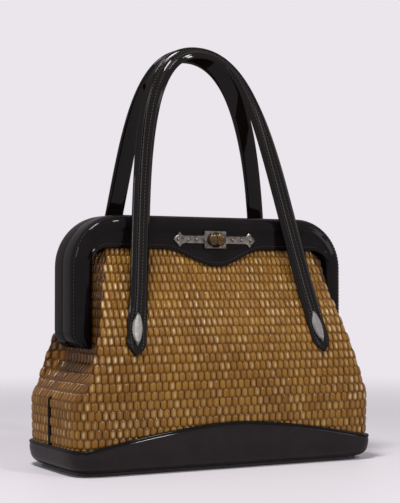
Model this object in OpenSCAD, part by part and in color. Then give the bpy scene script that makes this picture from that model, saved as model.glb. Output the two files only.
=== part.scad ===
// Frame handbag: woven cane body, patent leather base, hinged two-part frame
// with a turn lock, and two arched strap handles.
// Millimetres, +Z up, origin at the middle of the bottom, the clasp faces -Y.

/* [Body] */
// Width across the shoulders
body_w = 298; // [284:1:312]
// Depth at the belly
body_d = 126; // [118:1:134]
// Height of the shoulders, where the gussets turn in
shoulder_z = 62; // [56:1:68]
// Width of a panel between its folds at the mouth
mouth_w = 209; // [198:1:212]
// Thickness of the woven wall
wall_t = 4; // [3:0.5:5]
// Height of one row of the weave
row_h = 7.7; // [7:0.1:9]
// Depth of the groove between two rows
rib_h = 0.9; // [0.5:0.1:1.2]

/* [Base] */
// Height of the base band at the corners
base_h = 20; // [17:1:24]
// Rise of the band's wave at the middle of the front
wave_h = 19; // [12:1:24]
// Radius that rolls the band under the bag
roll_r = 9; // [7:0.5:11]
// Thickness of the sole
sole_t = 4; // [3:0.5:5]
// Thickness of the base leather
leather_t = 2.3; // [1.5:0.1:3]
// Radius of the piping on the band and the side seams
piping_r = 1.5; // [1:0.1:2]

/* [Frame] */
// Width over the legs
frame_w = 275; // [270:1:282]
// Height of the top bar
frame_h = 222; // [216:1:228]
// Depth of one half
frame_d = 24; // [22:0.5:26]
// Width of a leg, and of the rim along the top
leg_w = 17; // [16:0.5:18]
// Length of a leg, from the top bar down
leg_l = 117; // [113:1:119]
// Outer radius of the corners
corner_r = 46; // [42:1:50]
// Radius of the padded outer edge
edge_r = 8; // [6:0.5:9]
// Swing of each half, in degrees
swing = 26; // [20:1:26]

/* [Facing] */
// Height of the facing's straight edge below the top of the frame
facing_h = 29.5; // [27:0.5:31]
// Drop of the scallop under the clasp
scallop_h = 15.5; // [13:0.5:18]
// Width of the scallop
scallop_w = 104; // [90:1:116]
// Thickness of the facing
facing_t = 2; // [1.5:0.1:2.5]

/* [Handles] */
// Width of the strap
strap_w = 17; // [15:0.5:19]
// Height of the straps' middle line at the top of the arch
handle_h = 372; // [350:1:390]
// Distance of a strap's end from the middle
flex_x = 87.5; // [84:0.5:90]
// Height of the line where a strap bends from its tab
flex_z = 140; // [136:1:144]
// Sideways lean of the arch at its top
lean = 9; // [0:1:14]
// Twist of the strap between its end and the top, in degrees
twist = 55; // [40:1:70]
// Length of a tab below the bend
tab_l = 43; // [40:1:46]
// Length of a marquise stud
stud_l = 30; // [26:1:32]
// Width of a marquise stud
stud_w = 9; // [7:0.5:10]

/* [Clasp] */
// Length of the ornamental strap
clasp_w = 83; // [76:1:90]
// Width of the centre plate
plate_w = 22; // [20:0.5:24]
// Height of the centre plate
plate_h = 16; // [15:0.5:17]
// Length of the turn knob
knob_w = 17.5; // [15:0.5:18.5]
// Radius of the knob's spindle
spindle_r = 2.5; // [2:0.1:2.6]

/* [Hidden] */
$fn = 48;

cane = "#9a7136";
patent = "#1d1a1c";
edge_brown = "#33201a";
cloth = "#5a4632";
steel = "#9a9da0";
pewter = "#8d8a86";
brass = "#7a5a34";
board = "#a98f6b";

seat = 0.3;
clear = 0.35;
run_fit = 0.05;
belly_y = body_d / 2;
side_max = body_w / 2;

// Heights and half widths that the frame sets
leg_foot_z = frame_h - leg_l;
leg_end_z = leg_foot_z + leg_w;
hinge_z = leg_foot_z + 9;
leg_in = frame_w / 2 - leg_w;
corner_x = frame_w / 2 - corner_r;
corner_z = frame_h - corner_r;
rim_z = frame_h - leg_w;
facing_z = frame_h - facing_h;
skin = 3;
seam_gap = 0.2;

// Woven body: the neck is where the panels go in behind the facing
neck_z = facing_z - 0.5;
neck_y = frame_d - facing_t - clear;
panel_top = facing_z + 1.5;
wall_foot = base_h - 4;
pinch_x = leg_in - 2.6;
pinch_z = leg_foot_z - 9;
mouth_x = mouth_w / 2;
row_count = round((panel_top - wall_foot) / row_h);
levels = 2 * row_count;
panel_cols = 16;
gusset_cols = 8;
fold_power = 10;
notch_h = 12;
notch_x = 40;
lining_t = 1.3;
lining_top = panel_top - 16;
board_t = 2.2;

// Handle path: the knuckle turns on a pin that stands off the panel
pin_off = 3.5;
pin_r = 1.2;
knuckle_r = 2.6;
knuckle_l = 11;
flex_slope = 0.17;
apex_y = 10.5;
strap_rings = 44;

clasp_drop = 21;
clasp_z = frame_h - clasp_drop;
plate_t = 1.7;
rivet_r = 2;
lug_r = 3.8;
lug_t = 1.8;

function clamp01(t) = max(0, min(1, t));
function ease(t) = let (c = clamp01(t)) c * c * (3 - 2 * c);
function bump(t) = 0.5 + 0.5 * cos(180 * min(1, abs(t)));

// Half depth of the body at its middle: a full belly that leans in to the neck
function half_y(z) =
    z <= shoulder_z ? belly_y - 3 * pow((shoulder_z - z) / shoulder_z, 2)
    : let (s = (z - shoulder_z) / (neck_z - shoulder_z))
        belly_y - (belly_y - neck_y) * (1.14 * s * s + 0.5 * pow(s, 3) - 0.64 * pow(s, 4));

// Half width of the gusset at its middle: straight below the shoulder, then
// drawn in under the frame leg
function side_x(z) =
    z <= shoulder_z ? side_max - 1.5 * pow((shoulder_z - z) / shoulder_z, 2)
    : z <= pinch_z ?
        let (t = (pinch_z - z) / (pinch_z - shoulder_z))
            pinch_x + (side_max - pinch_x) * (0.5 * ease(t) + 0.5 * t)
    : pinch_x - (pinch_x - mouth_x - 1) * ease((z - panel_top + 10) / 10);

// Half width of the body at the folds between panel and gusset
function fold_x(z) =
    z <= shoulder_z ? side_x(z) * fold_p(z)
    : let (t = clamp01((panel_top - z) / (panel_top - shoulder_z)))
        mouth_x + (side_max * fold_p(shoulder_z) - mouth_x) * (0.95 * t + 0.05 * pow(t, 5));

// The plan is a superellipse, squarer towards the top; p runs across the bag and
// q along its depth, both from -1 to 1
function power_x(z) = 16 + 8 * clamp01((z - shoulder_z) / 60);
function power_y(z) = 6 + 3 * clamp01((z - shoulder_z) / 60);
function fold_p(z) = pow(0.5, 1 / power_x(z));
function fold_q(z) = pow(0.5, 1 / power_y(z));
function q_of(p, z) = pow(max(0, 1 - pow(abs(p), power_x(z))), 1 / power_y(z));
function p_of(q, z) = pow(max(0, 1 - pow(abs(q), power_y(z))), 1 / power_x(z));
function body_pt(z, p, q, d, flare = 1) =
    let (reach = fold_x(z) / fold_p(z) - side_x(z), out = reach > 0 ? flare * reach : reach) [
        p * (side_x(z) + d + out * pow(min(1, abs(q) / fold_q(z)), fold_power)),
        q * (half_y(z) + d),
        z
    ];

// Side 0 is the front, 1 the right gusset, 2 the back, 3 the left gusset; s runs
// from -1 to 1 along a side, anticlockwise from above
function spread(s) = 0.5 * s + 0.5 * sin(90 * s);
function side_pt(side, s, z, d, flare = 1) =
    let (v = spread(s) * (side % 2 == 0 ? fold_p(z) : fold_q(z)))
    side == 0 ? body_pt(z, v, -q_of(v, z), d, flare)
    : side == 1 ? body_pt(z, p_of(v, z), v, d, flare)
    : side == 2 ? body_pt(z, -v, q_of(v, z), d, flare)
    : body_pt(z, -p_of(v, z), -v, d, flare);

// Point d outside the wall, square to its plan, so that the drawn-in gussets keep
// their thickness next to the folds; a gusset takes its fold from the panel beside it
function wall_pt(side, s, z, d) =
    side % 2 == 1 && abs(s) > 0.999 ? wall_pt((side + (s < 0 ? 3 : 1)) % 4, -sign(s), z, d)
    : let (
        on = side_pt(side, s, z, 0),
        run = side_pt(side, s + 0.02, z, 0) - side_pt(side, s - 0.02, z, 0)
    ) on + d * [run[1], -run[0], 0] / norm(run);
function side_cols(side) = side % 2 == 0 ? panel_cols : gusset_cols;

// Outline of the whole plan at one height
function plan(z, d) = [
    for (side = [0:3], i = [0:side_cols(side) - 1])
        let (pt = side_pt(side, 2 * i / side_cols(side) - 1, z, d)) [pt[0], pt[1]]
];

// Faces of a closed wall made of an outer and an inner grid of columns and levels
function wall_faces(cols, rows) =
    let (m = rows + 1, n = (cols + 1) * m) [
        for (i = [0:cols - 1], k = [0:rows - 1]) each
            let (a = i * m + k, b = a + m) [
                [a, a + 1, b + 1], [a, b + 1, b],
                [n + a, n + b + 1, n + a + 1], [n + a, n + b, n + b + 1]
            ],
        for (i = [0:cols - 1]) each
            let (a = i * m, b = a + m, c = a + rows, e = b + rows) [
                [a, b, n + b], [a, n + b, n + a],
                [c, n + e, e], [c, n + c, n + e]
            ],
        for (k = [0:rows - 1]) each
            let (a = k, b = cols * m + k) [
                [a, n + a, n + a + 1], [a, n + a + 1, a + 1],
                [b, n + b + 1, n + b], [b, b + 1, n + b + 1]
            ]
    ];

// Faces of a ring made of columns of points that close on themselves
function ring_faces(cols, count) = [
    for (i = [0:cols - 1], k = [0:count - 1]) each
        let (
            j = (i + 1) % cols,
            l = (k + 1) % count,
            a = i * count + k,
            b = j * count + k,
            c = j * count + l,
            e = i * count + l
        ) [[a, e, c], [a, c, b]]
];

// Height of level k; the panels dip under the clasp so the lock can swing over them
function level_z(k) = wall_foot + (panel_top - wall_foot) * k / levels;
function edge_z(x) = panel_top - notch_h * bump(x / notch_x);
function panel_z(side, s, k) =
    side % 2 == 1 ? level_z(k)
    : let (x = side_pt(side, s, panel_top, 0)[0]) min(level_z(k), edge_z(x) - 0.3 * (levels - k));
function rib(k) = k % 2 == 1 ? 0 : -rib_h;

module woven_side(side) {
    cols = side_cols(side);
    outer = [
        for (i = [0:cols], k = [0:levels])
            let (s = 2 * i / cols - 1) wall_pt(side, s, panel_z(side, s, k), rib(k))
    ];
    inner = [
        for (i = [0:cols], k = [0:levels])
            let (s = 2 * i / cols - 1) wall_pt(side, s, panel_z(side, s, k), -wall_t)
    ];
    color(cane) polyhedron(concat(outer, inner), wall_faces(cols, levels), 12);
}

module front_panel() {
    woven_side(0);
}

module back_panel() {
    woven_side(2);
}

module left_gusset() {
    woven_side(3);
}

module right_gusset() {
    woven_side(1);
}

// Cloth tube inside the wall, straight across the folds, with a floor on the base board
module lining() {
    foot = sole_t + board_t;
    flare = pinch_z - shoulder_z;
    heights = [
        foot + 0.2,
        for (f = [0, 0.2, 0.4, 0.6, 0.8, 1]) shoulder_z + flare * f,
        (pinch_z + lining_top) / 2,
        lining_top
    ];
    steps = len(heights) - 1;
    total = 2 * (panel_cols + gusset_cols);
    points = [
        for (side = [0:3], i = [0:side_cols(side) - 1]) each
            let (s = 2 * i / side_cols(side) - 1) [
                for (k = [0:steps]) side_pt(side, s, heights[k], seat - wall_t, 0),
                for (k = [steps:-1:0]) side_pt(side, s, heights[k], -wall_t - lining_t, 0)
            ]
    ];
    color(cloth) {
        polyhedron(points, ring_faces(total, 2 * steps + 2), 12);
        translate([0, 0, foot])
            linear_extrude(lining_t) polygon(plan(foot, -wall_t - 0.2));
    }
}

// Top edge of the base band: low at the corners, one long wave along each face
function band_z(x) = base_h + wave_h * max(0, 1 - pow(abs(x) / (side_max * 0.93), 1.6));

// Section of the band: rolled under at the foot, straight above; each row is an
// offset from the body and a height
function band_row(k, r, d, top) =
    k < 4 ? [d - r * (1 - sin(30 * k)), sole_t - 1.5 + roll_r - r * cos(30 * k)]
    : k == 4 ? [d, base_h * 0.8]
    : [d, top];

// One half of the base, from side seam to side seam; side is 0 or 2
module base_band(side) {
    half = gusset_cols / 2;
    spots = [
        for (i = [half:gusset_cols - 1]) [(side + 3) % 4, 2 * i / gusset_cols - 1],
        for (i = [0:panel_cols - 1]) [side, 2 * i / panel_cols - 1],
        for (i = [0:half]) [(side + 1) % 4, 2 * i / gusset_cols - 1]
    ];
    rows = 5;
    tops = [
        for (spot = spots)
            spot[0] == side ? band_z(side_pt(side, spot[1], base_h, 0)[0]) : base_h
    ];
    outer = [
        for (c = [0:len(spots) - 1], k = [0:rows])
            let (row = band_row(k, roll_r, leather_t - seat, tops[c]))
                side_pt(spots[c][0], spots[c][1], row[1], row[0])
    ];
    inner = [
        for (c = [0:len(spots) - 1], k = [0:rows])
            let (row = band_row(k, roll_r - leather_t, -seat, tops[c]))
                side_pt(spots[c][0], spots[c][1], row[1], row[0])
    ];
    color(patent) polyhedron(concat(outer, inner), wall_faces(len(spots) - 1, rows), 12);
}

module front_base_band() {
    base_band(0);
}

module back_base_band() {
    base_band(2);
}

// Rolled piping along the whole top edge of the band
module base_piping() {
    sides = 6;
    total = 2 * (panel_cols + gusset_cols);
    points = [
        for (side = [0:3], i = [0:side_cols(side) - 1]) each
            let (
                s = 2 * i / side_cols(side) - 1,
                top = side % 2 == 0 ? band_z(side_pt(side, s, base_h, 0)[0]) : base_h
            ) [
                for (a = [0:sides - 1])
                    side_pt(
                        side, s,
                        top + piping_r * (0.8 + sin(360 * a / sides)),
                        1 + piping_r * cos(360 * a / sides)
                    )
            ]
    ];
    color(patent) polyhedron(points, ring_faces(total, sides), 12);
}

module bottom_panel() {
    inset = roll_r - leather_t;
    color(edge_brown)
        linear_extrude(sole_t) polygon(plan(sole_t, -inset));
}

module base_board() {
    color(board)
        translate([0, 0, sole_t])
            linear_extrude(board_t) polygon(plan(sole_t, -roll_r - leather_t));
}

// Piping down the middle of a side, from the shoulder to the base
module side_piping(sx) {
    color(patent)
        translate([sx * (side_max - 0.3), 0, base_h]) {
            cylinder(r = piping_r, h = shoulder_z - base_h);
            translate([0, 0, shoulder_z - base_h]) sphere(r = piping_r);
        }
}

module left_side_piping() {
    side_piping(-1);
}

module right_side_piping() {
    side_piping(1);
}

// Leather washer between gusset and leg, and the rivet that both halves turn on
module hinge_patch(sx) {
    color(patent)
        mirror([sx < 0 ? 1 : 0, 0, 0])
            translate([pinch_x - 1.5, 0, hinge_z])
                rotate([0, 90, 0])
                    difference() {
                        cylinder(r = 8.5, h = leg_in - 0.5 - pinch_x + 1.5);
                        translate([0, 0, -1]) cylinder(r = rivet_r, h = 20);
                    }
}

module left_hinge_patch() {
    hinge_patch(-1);
}

module right_hinge_patch() {
    hinge_patch(1);
}

module hinge_rivet(sx) {
    shaft_end = leg_in + skin + 0.4 + 2 * lug_t + 0.6;
    color(steel)
        mirror([sx < 0 ? 1 : 0, 0, 0])
            translate([0, 0, hinge_z])
                rotate([0, 90, 0]) {
                    translate([0, 0, pinch_x - 1.5]) cylinder(r = rivet_r, h = shaft_end - pinch_x + 1.5);
                    translate([0, 0, shaft_end]) cylinder(r = rivet_r + 0.9, h = 0.9);
                }
}

module left_hinge_rivet() {
    hinge_rivet(-1);
}

module right_hinge_rivet() {
    hinge_rivet(1);
}

// Section of the padded rim: x runs in from the outer edge, y out from the seam
module rim_solid() {
    translate([edge_r, seam_gap]) square([leg_w - edge_r, frame_d - seam_gap]);
    translate([0, seam_gap]) square([leg_w, frame_d - edge_r - seam_gap]);
    translate([edge_r, frame_d - edge_r]) circle(edge_r);
}

module rim_section() {
    difference() {
        rim_solid();
        translate([skin, -1]) square([leg_w - 2 * skin, frame_d - skin + 1]);
    }
}

// Section of the steel channel that the leather is drawn over
module channel_section() {
    depth = 12;
    web = 1.5;
    translate([skin, frame_d - skin - depth])
        difference() {
            square([leg_w - 2 * skin, depth]);
            translate([web, -1]) square([leg_w - 2 * skin - 2 * web, depth - web + 1]);
        }
}

// A straight length of a section: outer edge on x = 0, running to -y
module straight(l) {
    rotate([90, 0, 0]) linear_extrude(l) mirror([1, 0]) children();
}

module both_sides() {
    children();
    mirror([1, 0, 0]) children();
}

// Top bar, corners and legs of one half, laid flat: y is height, z is depth
module arch() {
    bar = frame_w - 2 * corner_r;
    translate([-bar / 2, frame_h, 0]) rotate([0, 0, 90]) straight(bar) children();
    both_sides() {
        translate([frame_w / 2, corner_z, 0]) straight(corner_z - leg_end_z) children();
        translate([corner_x, corner_z, 0])
            rotate_extrude(angle = 90) translate([corner_r, 0]) mirror([1, 0]) children();
    }
}

// Quarter round at the foot of a leg
module leg_foot() {
    translate([leg_in, leg_end_z, 0])
        rotate([0, 0, -90])
            rotate_extrude(angle = 90) translate([leg_w, 0]) mirror([1, 0]) children();
}

// Below the hinge the halves are cut back so that they can swing apart
module swing_relief() {
    reach = 40;
    translate([-frame_w, hinge_z, 0])
        rotate([-swing - 3, 0, 0])
            translate([0, -reach, -reach]) cube([2 * frame_w, reach, reach]);
}

module cover_flat() {
    difference() {
        union() {
            arch() rim_section();
            both_sides() {
                leg_foot() rim_section();
                intersection() {
                    leg_foot() rim_solid();
                    translate([leg_in, leg_foot_z, 0]) cube([skin, leg_w, frame_d]);
                }
            }
        }
        swing_relief();
        both_sides()
            translate([leg_in - 1, hinge_z, 0]) rotate([0, 90, 0]) cylinder(r = rivet_r + 0.6, h = skin + 2);
    }
}

// Channel with a lug at each foot; step is the lug's place along the rivet
module steel_flat(step) {
    lug_x = leg_in + skin + 0.4 + step;
    riser_z = frame_d - skin - 11;
    difference() {
        union() {
            arch() channel_section();
            both_sides() {
                translate([lug_x, hinge_z, 0]) rotate([0, 90, 0]) cylinder(r = lug_r, h = lug_t);
                translate([lug_x, hinge_z - 3, 0]) cube([lug_t, 6, riser_z + 1]);
                translate([lug_x, hinge_z - 3, riser_z]) cube([lug_t, leg_end_z - hinge_z + 7, 8]);
                translate([leg_in + skin, leg_end_z, riser_z]) cube([step + lug_t, 4, 8]);
            }
        }
        both_sides()
            translate([lug_x - 1, hinge_z, 0]) rotate([0, 90, 0]) cylinder(r = rivet_r + run_fit, h = lug_t + 2);
    }
}

module front_frame_cover() {
    color(patent) rotate([90, 0, 0]) cover_flat();
}

module front_frame_steel() {
    color(steel) rotate([90, 0, 0]) steel_flat(0);
}

module back_frame_cover() {
    color(patent) mirror([0, 1, 0]) rotate([90, 0, 0]) cover_flat();
}

module back_frame_steel() {
    color(steel) mirror([0, 1, 0]) rotate([90, 0, 0]) steel_flat(lug_t + 0.3);
}

// A rectangle with rounded top corners, standing on y = foot
module arch_plate(half, foot, top, r) {
    translate([-half, foot]) square([2 * half, top - r - foot]);
    translate([-half + r, foot]) square([2 * (half - r), top - foot]);
    for (sx = [-1, 1]) translate([sx * (half - r), top - r]) circle(r);
}

leg_drop = 20;
opening_r = 17;

// Wave of leather that hangs below the facing's straight edge
module scallop() {
    half = scallop_w / 2;
    steps = 24;
    polygon([
        for (i = [0:steps])
            let (x = half * (2 * i / steps - 1)) [x, facing_z - scallop_h * bump(x / half)],
        [half, facing_z + 1],
        [-half, facing_z + 1]
    ]);
}

module facing_outline() {
    foot = facing_z - leg_drop;
    difference() {
        arch_plate(leg_in, foot, rim_z, corner_r - leg_w);
        difference() {
            arch_plate(leg_in + 1.2, foot - 1, facing_z, opening_r);
            scallop();
        }
    }
}

// Side view of the facing: flat under the rim, then following the woven panel
module facing_side() {
    steps = 6;
    foot = facing_z - leg_drop - 1;
    back = [
        for (i = [0:steps])
            let (z = neck_z + (foot - neck_z) * i / steps) [-(half_y(z) + clear), z]
    ];
    polygon(concat(
        [[-frame_d, rim_z]],
        [for (pt = back) [pt[0] - facing_t, pt[1]]],
        [for (i = [steps:-1:0]) back[i]],
        [[-frame_d + facing_t, rim_z]]
    ));
}

module facing() {
    intersection() {
        rotate([90, 0, 0]) linear_extrude(2 * frame_d) facing_outline();
        translate([-frame_w / 2, 0, 0]) rotate([90, 0, 90]) linear_extrude(frame_w) facing_side();
    }
}

module front_facing() {
    color(patent)
        difference() {
            facing();
            translate([0, 0, clasp_z]) rotate([90, 0, 0]) cylinder(r = spindle_r + 0.3, h = 2 * frame_d);
        }
}

module back_facing() {
    color(patent) mirror([0, 1, 0]) facing();
}

// Ornamental strap: a square centre plate between two bars with barbed points
module clasp_outline() {
    bar = 3.6;
    barb = clasp_w / 2 - 4.5;
    square([plate_w, plate_h], center = true);
    square([2 * barb - 4, 2 * bar], center = true);
    for (sx = [0, 1])
        mirror([sx, 0])
            polygon([
                [barb - 4, -bar], [barb - 1, -bar - 3], [barb + 1, -bar + 0.4], [clasp_w / 2, 0],
                [barb + 1, bar - 0.4], [barb - 1, bar + 3], [barb - 4, bar]
            ]);
}

// Turns a flat shape to face the front, with its back on the frame's front face
module on_front(off = 0) {
    translate([0, -frame_d - off, clasp_z]) rotate([90, 0, 0]) children();
}

module clasp_plate() {
    color(pewter)
        on_front()
            difference() {
                union() {
                    linear_extrude(plate_t) clasp_outline();
                    translate([-plate_w / 2, -plate_h / 2, 0]) cube([plate_w, plate_h, plate_t + 0.5]);
                }
                translate([0, 0, -1]) cylinder(r = spindle_r + run_fit, h = plate_t + 4);
            }
}

module clasp_rivets() {
    places = [0.44, 0.66, 0.89];
    color(steel)
        on_front(plate_t)
            for (sx = [-1, 1], f = places)
                translate([sx * f * clasp_w / 2, 0, 0])
                    difference() {
                        sphere(r = 1.4);
                        translate([0, 0, -2]) cube(4, center = true);
                    }
}

module clasp_bezel() {
    color(brass)
        on_front(plate_t + 0.5)
            rotate_extrude()
                translate([spindle_r + 1, 0]) square([plate_h / 2 - 1.2 - spindle_r - 1, 0.8]);
}

// Two-lobed knob on a spindle that runs through the plate and the facing
module turn_knob() {
    lobe_r = 5.6;
    lobe_x = knob_w / 2 - lobe_r;
    thick = 5;
    rise = plate_t + 1.6;
    color(brass)
        on_front(rise) {
            difference() {
                union() {
                    for (sx = [-1, 1]) {
                        translate([sx * lobe_x, 0, 0]) cylinder(r = lobe_r, h = thick - 1);
                        translate([sx * lobe_x, 0, thick - 1]) cylinder(r1 = lobe_r, r2 = lobe_r - 1.4, h = 1);
                    }
                }
                translate([-1.5, -8, thick - 1.8]) cube([3, 16, 3]);
            }
            translate([0, 0, -rise - frame_d]) cylinder(r = spindle_r, h = rise + frame_d + 0.5);
        }
}

// Finger at the spindle's end; a quarter turn brings it down behind the catch
module lock_cam() {
    color(steel)
        translate([0, 0, clasp_z])
            rotate([-90, 0, 0]) {
                cylinder(r = spindle_r + 0.6, h = 2);
                translate([0, -spindle_r, 0]) cube([9, 2 * spindle_r, 2]);
            }
}

// J-shaped catch under the back bar
module catch_hook() {
    half = 5;
    sheet = 1.4;
    foot = clasp_z - 12;
    lip_y = -2.4;
    arm_y = 5;
    color(steel) {
        translate([-half, arm_y, foot]) cube([2 * half, sheet, rim_z - foot]);
        translate([-half, lip_y, foot]) cube([2 * half, arm_y - lip_y + sheet, sheet]);
        translate([-half, lip_y, foot]) cube([2 * half, sheet, 7]);
    }
}

// Tabs: pointed tongues on the panel, in line with the strap ends
tab_drop = half_y(flex_z - tab_l) - half_y(flex_z);
tab_tilt = atan2(tab_drop, tab_l);
tab_turn = atan2(flex_slope * tab_l, tab_l);
tab_t = 3;
flex_y = half_y(flex_z) + pin_off;

module tab_outline() {
    wide = strap_w / 2 + 0.4;
    top = knuckle_r + wide * flex_slope + 0.8;
    taper = tab_l * 0.55;
    steps = 12;
    right = [
        for (i = [0:steps])
            let (s = taper + (tab_l - taper) * i / steps, t = i / steps) [wide * (1 - pow(t, 2.2)), -s]
    ];
    polygon(concat(
        [[-wide, -top], [wide, -top]],
        right,
        [for (i = [steps - 1:-1:0]) [-right[i][0], right[i][1]]]
    ));
}

// Sets children in the plane of a tab: x across, y up along it, z out of the panel
module on_tab(sx) {
    translate([sx * flex_x, -half_y(flex_z), flex_z])
        rotate([-tab_tilt, 0, 0]) rotate([0, -sx * tab_turn, 0]) rotate([90, 0, 0]) children();
}

// Sets children on the bend line, with z along it
module on_pin(sx, along) {
    translate([sx * flex_x + along, -flex_y, flex_z]) rotate([0, 90, 0]) children();
}

module tab(sx) {
    ear = (strap_w - knuckle_l) / 2 - 0.3;
    ear_x = knuckle_l / 2 + 0.3;
    color(patent)
        difference() {
            union() {
                on_tab(sx) translate([0, 0, -0.4]) linear_extrude(tab_t + 0.4) tab_outline();
                for (end = [ear_x, -ear_x - ear]) {
                    on_pin(sx, end) cylinder(r = knuckle_r, h = ear);
                    translate([sx * flex_x + end, -flex_y - 1.2, flex_z - 8]) cube([ear, knuckle_r + 1.5, 8]);
                }
            }
            on_pin(sx, -strap_w) cylinder(r = pin_r, h = 2 * strap_w);
        }
}

module tab_pin(sx) {
    color(steel) on_pin(sx, -strap_w / 2 + 0.5) cylinder(r = pin_r, h = strap_w - 1);
}

// Pointed oval with bevelled sides: two cones crossed
module stud(sx) {
    half_l = stud_l / 2;
    half_w = stud_w / 2;
    arc_r = (half_l * half_l + half_w * half_w) / stud_w;
    stud_t = 2;
    middle = tab_l * 0.445;
    color(steel)
        on_tab(sx)
            translate([0, -middle, tab_t])
                intersection_for(side = [-1, 1])
                    translate([side * (arc_r - half_w), 0, 0])
                        cylinder(r1 = arc_r, r2 = arc_r - 1.7, h = stud_t, $fn = 96);
}

module front_left_tab() {
    tab(-1);
}

module front_right_tab() {
    tab(1);
}

module back_left_tab() {
    mirror([0, 1, 0]) tab(-1);
}

module back_right_tab() {
    mirror([0, 1, 0]) tab(1);
}

module front_left_stud() {
    stud(-1);
}

module front_right_stud() {
    stud(1);
}

module back_left_stud() {
    mirror([0, 1, 0]) stud(-1);
}

module back_right_stud() {
    mirror([0, 1, 0]) stud(1);
}

module front_left_tab_pin() {
    tab_pin(-1);
}

module front_right_tab_pin() {
    tab_pin(1);
}

module back_left_tab_pin() {
    mirror([0, 1, 0]) tab_pin(-1);
}

module back_right_tab_pin() {
    mirror([0, 1, 0]) tab_pin(1);
}

// Handle: each half of the arch is one cubic curve from the bend to the top;
// its second control point keeps the strap just in front of the frame
function cubic(t, a, b, c, d) =
    let (r = 1 - t) r * r * r * a + 3 * r * r * t * b + 3 * r * t * t * c + t * t * t * d;
rise_z = (handle_h - flex_z) * 0.56;
pass_y = (frame_d + 3.6 - 0.4219 * flex_y - 0.1562 * apex_y) / 0.4219;
function half_arch(t) = [
    cubic(t, flex_x, flex_x - flex_slope * rise_z, flex_x * 0.71, 0),
    -cubic(t, flex_y, pass_y, apex_y, apex_y),
    cubic(t, flex_z, flex_z + rise_z, handle_h, handle_h)
];
function arch_pt(u) =
    let (t = u < 0.5 ? 2 * u : 2 - 2 * u, pt = half_arch(t), shift = lean * ease(t))
    [(u < 0.5 ? -pt[0] : pt[0]) - shift, pt[1], pt[2]];
function unit(v) = v / norm(v);

// Section of the strap: flat back, two piped ridges with a channel between them
strap_back = -1.5;
strap_edge = 0.5;
pipe_top = 2.6;
half_strap = strap_w / 2;
strap_outline = [
    [-half_strap, strap_back], [half_strap, strap_back], [half_strap, strap_edge],
    [half_strap * 0.78, pipe_top], [half_strap * 0.4, pipe_top], [half_strap * 0.13, 1],
    [-half_strap * 0.13, 1], [-half_strap * 0.4, pipe_top], [-half_strap * 0.78, pipe_top],
    [-half_strap, strap_edge]
];
strap_start = 0.0055;
neck_wide = 0.6;
neck_thick = 0.35;

// One ring of the strap: its face looks forward at the ends and turns up and out
// towards the top
function strap_ring(u, wide, thick) =
    let (
        along = unit(arch_pt(u + 0.002) - arch_pt(u - 0.002)),
        front = unit([0, -1, 0] + along * along[1]),
        outward = cross(front, along),
        turn = twist * ease((1 - abs(2 * u - 1) - 0.3) / 0.7),
        face = front * cos(turn) + outward * sin(turn),
        across = outward * cos(turn) - front * sin(turn)
    )
    [for (pt = strap_outline) arch_pt(u) + across * pt[0] * wide + face * pt[1] * thick];

// Each end of the strap narrows to a neck that runs into its knuckle
module handle() {
    sides = len(strap_outline);
    neck_end = strap_start - 0.0004;
    points = [
        for (u = [0, neck_end]) each strap_ring(u, neck_wide, neck_thick),
        for (i = [0:strap_rings]) each
            strap_ring(strap_start + (1 - 2 * strap_start) * i / strap_rings, 1, 1),
        for (u = [1 - neck_end, 1]) each strap_ring(u, neck_wide, neck_thick)
    ];
    rings = strap_rings + 4;
    faces = concat(
        [
            for (i = [0:rings - 1], k = [0:sides - 1]) each
                let (l = (k + 1) % sides, a = i * sides + k, b = i * sides + l) [
                    [a, b + sides, b], [a, a + sides, b + sides]
                ]
        ],
        [[for (k = [0:sides - 1]) k]],
        [[for (k = [sides - 1:-1:0]) rings * sides + k]]
    );
    color(patent)
        difference() {
            union() {
                polyhedron(points, faces, 12);
                for (sx = [-1, 1]) on_pin(sx, -knuckle_l / 2) cylinder(r = knuckle_r, h = knuckle_l);
            }
            for (sx = [-1, 1]) on_pin(sx, -strap_w) cylinder(r = pin_r + run_fit, h = 2 * strap_w);
        }
}

module front_handle() {
    handle();
}

module back_handle() {
    mirror([0, 1, 0]) handle();
}

front_panel();
back_panel();
left_gusset();
right_gusset();
lining();
front_base_band();
back_base_band();
base_piping();
bottom_panel();
base_board();
left_side_piping();
right_side_piping();
left_hinge_patch();
right_hinge_patch();
left_hinge_rivet();
right_hinge_rivet();
front_left_tab();
front_right_tab();
back_left_tab();
back_right_tab();
front_left_stud();
front_right_stud();
back_left_stud();
back_right_stud();
front_left_tab_pin();
front_right_tab_pin();
back_left_tab_pin();
back_right_tab_pin();
front_frame_cover();
front_frame_steel();
front_facing();
clasp_plate();
clasp_rivets();
clasp_bezel();
back_frame_cover();
back_frame_steel();
back_facing();
catch_hook();
turn_knob();
lock_cam();
front_handle();
back_handle();
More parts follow.
